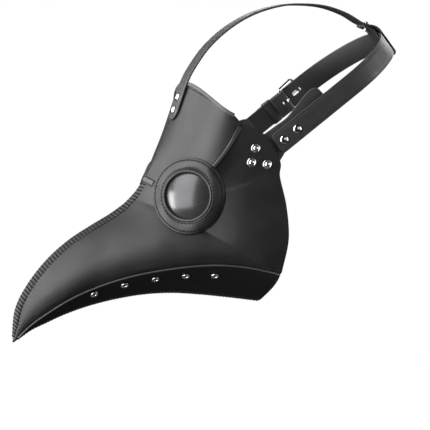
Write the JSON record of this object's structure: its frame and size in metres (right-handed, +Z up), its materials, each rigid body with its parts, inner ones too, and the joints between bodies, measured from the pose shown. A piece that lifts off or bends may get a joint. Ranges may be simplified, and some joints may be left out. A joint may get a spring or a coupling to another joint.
{
  "type": "plague doctor mask",
  "caption": "Leather plague doctor mask with a long curved beak, domed smoked lenses, vented underside, crown strap and buckled rear strap.",
  "frame": {"origin": "centre of the wearer's head space at eye level, on the mask's middle plane", "axes": "+Z up, -X towards the beak's tip, -Y towards the wearer's left, whose side the picture shows"},
  "size_m": [0.4003, 0.1575, 0.338],
  "materials": {
    "panel_leather": "satin black faux leather with a fine grain",
    "strap_leather": "satin black strap leather",
    "nickel": "polished nickel plate",
    "smoked_lens": "glossy smoked acrylic",
    "black_plastic": "moulded black plastic"
  },
  "bodies": {
    "mask": {"forehead_panel": "panel_leather", "forehead_binding": "panel_leather", "bridge_strip": "panel_leather", "left_side_panel": "panel_leather", "right_side_panel": "panel_leather", "left_beak_gusset": "panel_leather", "right_beak_gusset": "panel_leather", "left_seam_welt": "panel_leather", "right_seam_welt": "panel_leather", "left_gusset_piping": "panel_leather", "right_gusset_piping": "panel_leather", "left_eye_ring": "panel_leather", "right_eye_ring": "panel_leather", "left_inner_rim": "panel_leather", "right_inner_rim": "panel_leather", "left_lens": "smoked_lens", "right_lens": "smoked_lens", "left_lens_retainer": "black_plastic", "right_lens_retainer": "black_plastic", "left_vent_eyelets": "nickel", "right_vent_eyelets": "nickel", "left_temple_tab": "strap_leather", "right_temple_tab": "strap_leather", "left_temple_rivets": "nickel", "right_temple_rivets": "nickel", "left_strap_rivets": "nickel", "right_strap_rivets": "nickel", "rear_strap": "strap_leather", "right_chape": "strap_leather", "top_strap": "strap_leather", "forehead_rivets": "nickel", "top_strap_rivet": "nickel"},
    "buckle_frame": {"buckle_frame": "nickel"},
    "buckle_prong": {"buckle_prong": "nickel"},
    "keeper_loop": {"keeper_loop": "strap_leather"}
  },
  "joints": [
    {"name": "buckle_frame_hinge", "type": "hinge", "parent": "mask", "child": "buckle_frame", "pos_m": [0.00975, 0.06922, 0.09571], "axis": [-0.6088, 0, 0.7934], "range_deg": [0, 30]},
    {"name": "buckle_prong_hinge", "type": "hinge", "parent": "buckle_frame", "child": "buckle_prong", "pos_m": [0.00975, 0.06922, 0.09571], "axis": [-0.6088, 0, 0.7934], "range_deg": [0, 30]},
    {"name": "keeper_slide", "type": "slide", "parent": "mask", "child": "keeper_loop", "axis": [-0.7934, 0, -0.6088], "range_m": [0, 0.018]}
  ]
}
